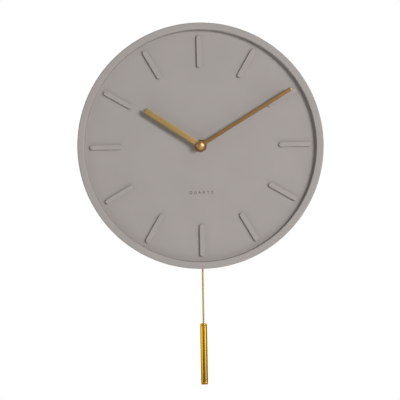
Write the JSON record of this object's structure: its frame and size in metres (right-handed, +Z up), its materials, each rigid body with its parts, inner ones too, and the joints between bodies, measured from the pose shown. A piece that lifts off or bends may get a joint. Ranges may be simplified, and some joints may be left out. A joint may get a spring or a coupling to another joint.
{
  "type": "pendulum wall clock",
  "caption": "Round wall clock with a deep matte rim, recessed dial with raised hour bars, gold hands and a swinging pendulum with a slim brass bob.",
  "frame": {"origin": "where the axis of the wall nail meets the wall plane, at the top of the keyhole slot", "axes": "+Z up, +Y into the wall, so the dial faces -Y and +X is the viewer's right"},
  "size_m": [0.3, 0.0487, 0.4449],
  "materials": {
    "case_paint": "satin paint",
    "dial_paint": "matte paint",
    "hour_hand_gold": "fine brushed gold",
    "minute_hand_gold": "fine brushed gold",
    "cap_brass": "polished",
    "rod_brass": "drawn wire",
    "bob_brass": "polished",
    "movement_brass": "machined",
    "nut_brass": "dark bronze wash",
    "movement_plastic": "fine texture",
    "black_plastic": "matte",
    "white_plastic": "satin",
    "rubber": "matte",
    "zinc_steel": "zinc plated",
    "contact_steel": "nickel plated",
    "motor_steel": "stamped",
    "magnet": "nickel plated",
    "copper_wire": "enamelled wire",
    "board_green": "solder mask",
    "battery_label": "printed sleeve"
  },
  "bodies": {
    "case": {"case_ring": "case_paint", "dial_plate": "dial_paint", "hour_marker_01": "dial_paint", "hour_marker_02": "dial_paint", "hour_marker_03": "dial_paint", "hour_marker_04": "dial_paint", "hour_marker_05": "dial_paint", "hour_marker_06": "dial_paint", "hour_marker_07": "dial_paint", "hour_marker_08": "dial_paint", "hour_marker_09": "dial_paint", "hour_marker_10": "dial_paint", "hour_marker_11": "dial_paint", "hour_marker_12": "dial_paint", "dial_retaining_ring": "black_plastic", "dial_screw_1": "zinc_steel", "dial_screw_2": "zinc_steel", "dial_screw_3": "zinc_steel", "dial_screw_4": "zinc_steel", "hanger_plate": "zinc_steel", "hanger_screw_1": "zinc_steel", "hanger_screw_2": "zinc_steel", "rubber_gasket": "rubber", "dial_washer": "movement_brass", "dial_nut": "nut_brass", "threaded_bushing": "movement_brass", "front_shell": "movement_plastic", "rear_cover": "movement_plastic", "train_bridge": "white_plastic", "motor_stator": "motor_steel", "motor_coil": "copper_wire", "circuit_board": "board_green", "control_chip": "black_plastic", "quartz_crystal": "zinc_steel", "drive_coil": "copper_wire", "battery_cell": "battery_label", "battery_spring": "contact_steel", "battery_plate": "contact_steel", "pivot_pin": "zinc_steel"},
    "minute_work": {"centre_wheel": "white_plastic", "minute_hand": "minute_hand_gold", "hand_cap": "cap_brass"},
    "hour_work": {"hour_wheel": "white_plastic", "hour_hand": "hour_hand_gold"},
    "motion_work": {"motion_wheel": "white_plastic"},
    "third_work": {"third_wheel": "white_plastic"},
    "seconds_work": {"seconds_wheel": "white_plastic"},
    "intermediate_work": {"intermediate_wheel": "white_plastic"},
    "rotor_work": {"motor_rotor": "magnet"},
    "knob_work": {"setting_knob": "white_plastic"},
    "pendulum": {"swing_arm": "white_plastic", "drive_magnet": "magnet", "pendulum_rod": "rod_brass", "bob_tube": "bob_brass", "bob_top_cap": "bob_brass", "bob_bottom_cap": "bob_brass"}
  },
  "joints": [
    {"name": "minute_turn", "type": "hinge", "parent": "case", "child": "minute_work", "pos_m": [0, -0.045, -0.126], "axis": [0, 1, 0], "continuous": true},
    {"name": "hour_turn", "type": "hinge", "parent": "case", "child": "hour_work", "pos_m": [0, -0.042, -0.126], "axis": [0, 1, 0], "continuous": true},
    {"name": "motion_turn", "type": "hinge", "parent": "case", "child": "motion_work", "pos_m": [0.00983, -0.0253, -0.13288], "axis": [0, 1, 0], "continuous": true},
    {"name": "third_turn", "type": "hinge", "parent": "case", "child": "third_work", "pos_m": [0.0118, -0.0211, -0.11774], "axis": [0, 1, 0], "continuous": true},
    {"name": "seconds_turn", "type": "hinge", "parent": "case", "child": "seconds_work", "pos_m": [0.00002, -0.0191, -0.11094], "axis": [0, 1, 0], "continuous": true},
    {"name": "intermediate_turn", "type": "hinge", "parent": "case", "child": "intermediate_work", "pos_m": [-0.01048, -0.0171, -0.11094], "axis": [0, 1, 0], "continuous": true},
    {"name": "rotor_turn", "type": "hinge", "parent": "case", "child": "rotor_work", "pos_m": [-0.01809, -0.0171, -0.1186], "axis": [0, 1, 0], "continuous": true},
    {"name": "knob_turn", "type": "hinge", "parent": "case", "child": "knob_work", "pos_m": [0.02183, -0.0102, -0.13288], "axis": [0, 1, 0], "continuous": true},
    {"name": "pendulum_swing", "type": "hinge", "parent": "case", "child": "pendulum", "pos_m": [0, -0.0095, -0.18], "axis": [0, 1, 0], "range_deg": [-8, 8]}
  ],
  "couplings": [
    {"joint": "hour_turn", "follows": "minute_turn", "ratio": 0.083333},
    {"joint": "motion_turn", "follows": "minute_turn", "ratio": -0.33333},
    {"joint": "third_turn", "follows": "minute_turn", "ratio": -8},
    {"joint": "seconds_turn", "follows": "minute_turn", "ratio": 60},
    {"joint": "intermediate_turn", "follows": "minute_turn", "ratio": -360},
    {"joint": "rotor_turn", "follows": "minute_turn", "ratio": 1800},
    {"joint": "knob_turn", "follows": "minute_turn", "ratio": 1}
  ]
}
